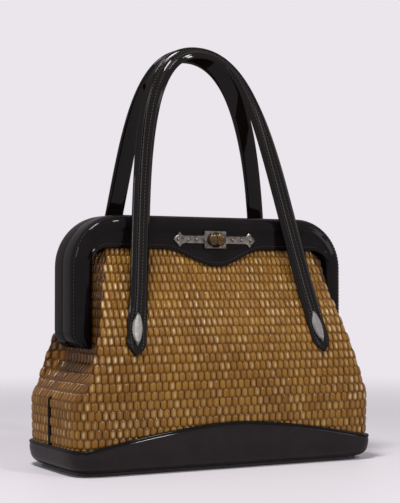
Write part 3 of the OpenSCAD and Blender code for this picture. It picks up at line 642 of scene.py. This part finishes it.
for sign, name, body in ((-1, "front", "front_frame"), (1, "back", "back_frame")):
    cover = rimSurface(name + "FrameCover", sign)
    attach(cover, body)
    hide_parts(name + "_frame_cover")
    path, out = rimSeam(sign)
    rows = beads(name + "RimStitches", path, unit(np.gradient(path, axis=0)), out, "rim", darkThread)
    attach(rows, body)
    skirt = apronSurface(name + "Facing", sign)
    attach(skirt, body)
    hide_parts(name + "_facing")
    path, out = facingSeam(sign)
    rows = beads(name + "FacingStitches", path, unit(np.gradient(path, axis=0)), out, "facing", darkThread)
    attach(rows, body)
print("frame and facings made")


# Clasp: a strap of pewter whose half height and thickness change along it, square in the middle, barbed at its ends
clasp = dict(z=201, face=24, bevel=0.5, hollow=0.18, hollowHalf=0.55, sharp=32)
claspX = np.array([0, 10.5, 11, 11.05, 12.2, 31, 33.2, 35.4, 36.6, 37.4, 38.6, 40.2, 41.5])
claspH = np.array([8, 8, 7.5, 3.9, 3.5, 3.5, 4.1, 6.6, 6.5, 4.2, 3.3, 1.9, 0.25])
claspT = np.array([2.3, 2.3, 2.0, 1.7, 1.7, 1.7, 1.7, 1.5, 1.4, 1.5, 1.5, 1.3, 1.0])


def onClasp(x, up, out):
    # x along, up above the clasp's middle, out from the front of the frame
    return np.stack(np.broadcast_arrays(x, -clasp["face"] - out, clasp["z"] + up), -1)


x = np.concatenate([-claspX[:0:-1], claspX])[:, None]
h, t = (np.concatenate([v[:0:-1], v])[:, None] for v in (claspH, claspT))
cut, flute, low = np.minimum(clasp["bevel"], 0.4 * h), h * clasp["hollowHalf"], t - clasp["hollow"]
up = np.concatenate([-h, -h, -h + cut, -flute, flute, h - cut, h, h], 1)
lift = np.concatenate([0 * t, t - cut, t, low, low, t, t - cut, 0 * t], 1)
pts = onClasp(x, up, lift)
strap = paint(surface("claspStrap", pts, closeV=True, weld=True, sharp=clasp["sharp"]), pewter)
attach(strap, "front_frame")
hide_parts("clasp_plate")

# Rivets: low domes, three on each arm
rivet = dict(at=(-37, -27.3, -18.4, 18.4, 27.3, 37), radius=1.4, seat=1.6, rise=1.1, around=14)
u = np.linspace(0, np.pi / 2, 6)[None, :, None]
v = fullTurn(rivet["around"])[None, None, :]
spot = np.array(rivet["at"])[:, None, None]
reach = rivet["radius"] * np.cos(u)
pts = onClasp(spot + reach * np.cos(v), reach * np.sin(v), rivet["seat"] + rivet["rise"] * np.sin(u))
domes = paint(surface("claspRivets", pts, closeV=True, weld=True), silver)
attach(domes, "front_frame")
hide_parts("clasp_rivets")

# Bezel and knob: rings of a profile turned round the spindle, the knob's outline two joined lobes
v = fullTurn(72)[:, None]
ringR = np.array([[3.4, 3.6, 5.6, 6.5, 6.8, 6.8]])
ringO = np.array([[2.3, 3.0, 2.7, 3.2, 2.9, 2.2]])
pts = onClasp(ringR * np.cos(v), ringR * np.sin(v), ringO)
bezel = paint(surface("claspBezel", pts, closeU=True, weld=True, sharp=40), bronze)
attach(bezel, "front_frame")
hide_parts("clasp_bezel")

lobes = dict(radius=5.6, apart=3.15, groove=1.5, grooveHalf=1.15, grooveFrom=6, sharp=50)
chord = np.sqrt(np.maximum(0, lobes["radius"] ** 2 - (lobes["apart"] * np.sin(v)) ** 2))
outline = lobes["apart"] * np.abs(np.cos(v)) + chord
share = np.array([[0.45, 0.45, 0.9, 1.0, 1.0, 0.94, 0.82, 0.62, 0.4, 0.2, 0.0]])
height = np.array([[2.0, 3.2, 3.3, 3.9, 5.4, 6.6, 7.3, 7.7, 7.8, 7.8, 7.8]])
kx, ku = outline * share * np.cos(v), outline * share * np.sin(v)
groove = lobes["groove"] * np.exp(-(kx / lobes["grooveHalf"]) ** 2) * (height > lobes["grooveFrom"])
pts = onClasp(kx, ku, height - groove)
knob = paint(surface("turnKnob", pts, closeU=True, weld=True, sharp=lobes["sharp"]), bronze)
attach(knob, "turn_lock")
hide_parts("turn_knob")
print("clasp made")


# Straps: up from the tip of one tab, over the arch and down to the other tip
handle = dict(flexX=87.5, flexZ=140, stand=3.5, top=372, apexY=10.5, lean=9, slope=0.17, twist=55, half=8.5,
              tab=43, tipRun=14, under=1.5, tabStand=2.0, rise=0.56, hipX=0.71, rimClear=3.6)
strapSteps = dict(tab=30, arch=260, gap=1.9, smooth=9, top=31)
flexY = panelY(handle["flexZ"]) + handle["stand"]
riseZ = handle["rise"] * (handle["top"] - handle["flexZ"])
# a quarter of the way up, the curve's first two points weigh this much each, its last two this much together
firstShare, lastShare = 0.4219, 0.1562
passY = (rim["depth"] + handle["rimClear"] - firstShare * flexY - lastShare * handle["apexY"]) / firstShare


def cubic(t, a, b, c, d):
    r = 1 - t
    return r ** 3 * a + 3 * r * r * t * b + 3 * r * t * t * c + t ** 3 * d


def archPoint(u):
    # each half is one cubic curve from the bend to the top, shifted a little to the left at the top
    h = handle
    t = np.where(u < 0.5, 2 * u, 2 - 2 * u)
    x = cubic(t, h["flexX"], h["flexX"] - h["slope"] * riseZ, h["flexX"] * h["hipX"], 0) * np.where(u < 0.5, -1, 1)
    y = -cubic(t, flexY, passY, h["apexY"], h["apexY"])
    z = cubic(t, h["flexZ"], h["flexZ"] + riseZ, h["top"], h["top"])
    return np.stack([x - h["lean"] * ease(t), y, z], -1)


tabDrop = panelY(handle["flexZ"] - handle["tab"]) - panelY(handle["flexZ"])
tabTilt, tabTurn = np.arctan2(tabDrop, handle["tab"]), np.arctan(handle["slope"])


def tabFrame(sx):
    # a tab's place at the bend on the front panel, and its across, up and out directions
    ct, st, cr, sr = np.cos(-tabTilt), np.sin(-tabTilt), np.cos(-sx * tabTurn), np.sin(-sx * tabTurn)
    tilt = np.array([[1, 0, 0], [0, ct, -st], [0, st, ct]])
    turn = np.array([[cr, 0, sr], [0, 1, 0], [-sr, 0, cr]])
    stand = np.array([[1, 0, 0], [0, 0, -1], [0, 1, 0]])
    axes = tilt @ turn @ stand
    origin = np.array([sx * handle["flexX"], -panelY(handle["flexZ"]), float(handle["flexZ"])])
    return origin, axes[:, 0], axes[:, 1], axes[:, 2]


def strapPath():
    # middle line and outward face, from tip to tip, with the joins smoothed
    h, steps = handle, strapSteps
    down = np.linspace(h["tab"], 4, steps["tab"])
    u = np.linspace(0.012, 0.988, steps["arch"])
    arch = archPoint(u)
    along = unit(archPoint(u + 0.002) - archPoint(u - 0.002))
    forward = np.array([0.0, -1, 0])
    front = unit(forward - along * (along @ forward)[:, None])
    outward = np.cross(front, along)
    turn = np.radians(h["twist"]) * ease((1 - np.abs(2 * u - 1) - 0.3) / 0.7)[:, None]
    face = front * np.cos(turn) + outward * np.sin(turn)
    stand = h["tabStand"] + (h["stand"] - h["tabStand"]) * ease(1 - down / 16)
    ends = []
    for sx in (-1, 1):
        origin, _, up, out = tabFrame(sx)
        ends.append((origin - up * down[:, None] + out * stand[:, None], np.tile(out, (steps["tab"], 1))))
    path = np.concatenate([ends[0][0], arch, ends[1][0][::-1]])
    faces = np.concatenate([ends[0][1], face, ends[1][1][::-1]])
    path, faces = spaced(path, steps["gap"], faces)
    kernel = np.hanning(steps["smooth"]) / np.hanning(steps["smooth"]).sum()
    pad = steps["smooth"] // 2
    soft = [np.stack([np.convolve(np.pad(v[:, k], pad, mode="reflect", reflect_type="odd"), kernel, "valid")
                      for k in range(3)], -1) for v in (path, faces)]
    return soft[0], unit(soft[1])


def strapFrames():
    # middle line, its three directions, and the distance to the nearest tip
    path, face = strapPath()
    along = unit(np.gradient(path, axis=0))
    across = unit(np.cross(face, along))
    run = runOf(path)
    return path, along, across, np.cross(along, across), np.minimum(run, run[-1] - run)


# Two rolled ridges with a channel between them; each pair is the strap's value and its change on the tab,
# where the ridges thin out to a raised border
ridge = dict(mid=(4.9, 1.9), wide=(2.05, -0.95), high=(2.0, -0.9), floor=0.75, drop=0.5, dropFrom=7.4, dropRun=1.1)


def strapTop(x, onTab):
    mid, wide, high = (ridge[key][0] + ridge[key][1] * onTab for key in ("mid", "wide", "high"))
    edge = ridge["drop"] * ease((np.abs(x) - ridge["dropFrom"]) / ridge["dropRun"])
    return ridge["floor"] + high * np.exp(-((np.abs(x) - mid) / wide) ** 2) - edge


path, along, across, face, tip = strapFrames()
onTab = ease((handle["tab"] - 3 - tip) / 12)[:, None]
narrow = np.clip((handle["tipRun"] - tip) / handle["tipRun"], 0, 1)
widthAt = ((1 + 0.05 * onTab[:, 0]) * (1 - narrow ** 2.3))[:, None]
nTop = strapSteps["top"]
topX = np.sin(np.linspace(-np.pi / 2, np.pi / 2, nTop))[None, :] * handle["half"]
lowX = np.array([[1.0, 0.97, 0.6, 0.2, -0.2, -0.6, -0.97, -1.0]]) * handle["half"]
lowH = -handle["under"] + np.array([[0.35, 0, 0, 0, 0, 0, 0, 0.35]])
nLow = lowX.size
sectX = np.concatenate([topX, lowX], 1) * widthAt
sectH = np.concatenate([strapTop(topX, onTab), np.broadcast_to(lowH, (len(tip), nLow))], 1)
flatEnd = np.sqrt(np.clip(tip / 5, 0, 1))[:, None]
sectH = (sectH + handle["under"]) * (0.35 + 0.65 * flatEnd) - handle["under"]
# material of each quad round the section: lacquered top, grey underside, burnished edges
strapSlot = np.zeros(nTop + nLow, int)
strapSlot[[0, nTop - 2, nTop - 1, -2, -1]] = 2
strapSlot[nTop:-2] = 1

# Stitch rows: two along the channel, one round each tab's border
rowAt = dict(channel=2.3, channelFrom=34, border=5.6, borderFrom=6, borderTo=40, up=0.02)
# Marquise studs: width from two crossing arcs, a bevel all round and a slightly crowned table
stud = dict(half=15.5, wide=5.0, drop=19.1, seat=0.9, fullWidth=2.2, sharp=24)
stud["across"] = np.array([[-1, -1, -0.72, -0.36, 0, 0.36, 0.72, 1, 1]])
stud["height"] = np.array([[0, 0.7, 1.9, 2.02, 2.06, 2.02, 1.9, 0.7, 0]])


def stitchRow(offset, keep):
    line = path + across * offset * widthAt
    line = line + face * (strapTop(offset * np.ones((1, 1)), onTab) + rowAt["up"])
    c, t, f = spaced(line[keep], stitch["strap"]["gap"], along[keep], face[keep])
    return c, unit(t), unit(f)


def studPoints(sx):
    origin, ax, up, out = tabFrame(sx)
    arc = (stud["half"] ** 2 + stud["wide"] ** 2) / (2 * stud["wide"])
    s = np.sin(np.linspace(-np.pi / 2, np.pi / 2, 41))[:, None] * stud["half"]
    w = np.sqrt(arc ** 2 - s ** 2) - (arc - stud["wide"])
    high = stud["height"] * (0.25 + 0.75 * np.clip(w / stud["fullWidth"], 0, 1))
    spot = origin - up * stud["drop"] + out * (handle["tabStand"] + stud["seat"])
    return spot + up * s[..., None] + ax * (w * stud["across"])[..., None] + out * high[..., None]


leftHalf = np.arange(len(tip)) < len(tip) / 2
channel = tip > rowAt["channelFrom"]
border = (tip < rowAt["borderTo"]) & (tip > rowAt["borderFrom"])
rows = [stitchRow(k * rowAt["channel"], channel) for k in (-1, 1)]
rows += [stitchRow(k * rowAt["border"], border & half) for half in (leftHalf, ~leftHalf) for k in (-1, 1)]
for sign, name in ((-1, "front"), (1, "back")):
    flip = np.array([1, -sign, 1])
    pts = (path[:, None] + across[:, None] * sectX[..., None] + face[:, None] * sectH[..., None]) * flip
    # each tip is drawn together to one point
    pts[0], pts[-1] = pts[0].mean(0), pts[-1].mean(0)
    handlePiece = surface(name + "Strap", pts, closeV=True, weld=True, slotOf=strapSlot[None, None, :])
    paint(handlePiece, strapPatent, underLeather, edgeLeather)
    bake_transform(handlePiece)
    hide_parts(name + "_handle", name + "_left_tab", name + "_right_tab",
                name + "_left_tab_pin", name + "_right_tab_pin")
    c, t, f = (np.concatenate([r[k] for r in rows]) * flip for k in range(3))
    stitches = beads(name + "StrapStitches", c, t, f, "strap", thread)
    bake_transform(stitches)
    for sx, hand in ((-1, "left"), (1, "right")):
        jewel = surface(name + hand.capitalize() + "Stud", studPoints(sx) * flip, closeV=True, weld=True,
                        sharp=stud["sharp"])
        paint(jewel, silver)
        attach(jewel, "body")
        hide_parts(name + "_" + hand + "_stud")
print("straps, stitches and studs made")

# CAD nodes that stay as they are
finish = dict(bottom_panel=soleLeather, base_board=boardCard, left_hinge_patch=patent, right_hinge_patch=patent,
              left_hinge_rivet=steel, right_hinge_rivet=steel, front_frame_steel=steel, back_frame_steel=steel,
              catch_hook=steel, lock_cam=steel)
for key, material in finish.items():
    paint(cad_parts[key], material)


# Stage: pale floor that fades to the backdrop's colour, soft light from the upper left
stage = dict(pale="#ebe6ec", near="#e6e1e7", room="#f3f0f4", ambient=0.12, half=6, fadeFrom=0.35, fadeTo=1.3)


def shownPale(tree):
    # 1 for rays that look at the backdrop, straight or by way of metal, lacquer or glass
    ray = addNode(tree, "ShaderNodeLightPath").outputs
    either = combine(tree, "MAXIMUM", ray["Is Camera Ray"], ray["Is Glossy Ray"])
    return combine(tree, "MAXIMUM", either, ray["Is Transmission Ray"])


floorMesh = bpy.data.meshes.new("floor")
corners = [(x * stage["half"], y * stage["half"], 0) for x, y in ((-1, -1), (1, -1), (1, 1), (-1, 1))]
floorMesh.from_pydata(corners, [], [(0, 1, 2, 3)])
floor = bpy.data.objects.new("floor", floorMesh)
bpy.context.collection.objects.link(floor)
material, tree, shader = startMaterial("paleFloor", Roughness=0.6, Base_Color=toLinear(stage["near"]))
far = addNode(tree, "ShaderNodeVectorMath", {0: objectPlace(tree)}, operation="LENGTH").outputs["Value"]
sockets = {"Value": far, "From Min": stage["fadeFrom"], "From Max": stage["fadeTo"]}
fade = addNode(tree, "ShaderNodeMapRange", sockets, interpolation_type="SMOOTHSTEP").outputs[0]
fade = combine(tree, "MULTIPLY", fade, shownPale(tree))
glow = addNode(tree, "ShaderNodeEmission", {"Color": toLinear(stage["pale"])}).outputs[0]
both = addNode(tree, "ShaderNodeMixShader", {0: fade, 1: shader.outputs[0], 2: glow})
tree.links.new(both.outputs[0], tree.nodes["Material Output"].inputs["Surface"])
paint(floor, material)

world = bpy.data.worlds.new("studio")
bpy.context.scene.world = world
world.use_nodes = True
tree = world.node_tree
room, backdrop = (addNode(tree, "ShaderNodeBackground", {"Color": toLinear(colour), "Strength": strength}).outputs[0]
                  for colour, strength in ((stage["room"], stage["ambient"]), (stage["pale"], 1.0)))
both = addNode(tree, "ShaderNodeMixShader", {0: shownPale(tree), 1: room, 2: backdrop})
tree.links.new(both.outputs[0], tree.nodes["World Output"].inputs["Surface"])

lamps = dict(
    top=dict(place=(-0.5, -0.34, 1.62), aim=(0, 0, 0.18), size=(0.34, 0.42), power=20),
    left=dict(place=(-1.4, -0.75, 0.8), aim=(0, 0, 0.12), size=(0.2, 0.45), power=3),
    front=dict(place=(0.5, -1.37, 1.3), aim=(0, 0, 0.16), size=(0.14, 0.3), power=8),
    right=dict(place=(1.5, -1.1, 0.75), aim=(0, 0, 0.16), size=(0.5, 0.7), power=3.5))
for name, spec in lamps.items():
    data = bpy.data.lights.new(name, "AREA")
    data.shape, data.size, data.size_y, data.energy = "RECTANGLE", spec["size"][0], spec["size"][1], spec["power"]
    lamp = bpy.data.objects.new(name, data)
    lamp.location = spec["place"]
    lamp.rotation_euler = (Vector(spec["aim"]) - Vector(spec["place"])).to_track_quat("-Z", "Y").to_euler()
    bpy.context.collection.objects.link(lamp)

# focal length and picture height are in pixels
view = dict(azimuth=-28, pitch=-1.5, distance=1.247, target=(-0.002, 0, 0.1912), focal=1361, height=503, sensor=36)
az, pitch = np.radians(view["azimuth"]), np.radians(view["pitch"])
toEye = Vector((np.sin(az) * np.cos(pitch), -np.cos(az) * np.cos(pitch), np.sin(pitch)))
lens = bpy.data.cameras.new("view")
lens.sensor_width = view["sensor"]
lens.lens = view["focal"] * view["sensor"] / view["height"]
eye = bpy.data.objects.new("view", lens)
eye.location = Vector(view["target"]) + toEye * view["distance"]
eye.rotation_euler = (-toEye).to_track_quat("-Z", "Y").to_euler()
bpy.context.collection.objects.link(eye)
bpy.context.scene.camera = eye
bpy.context.scene.view_settings.view_transform = "Standard"
print("stage, light and camera set")
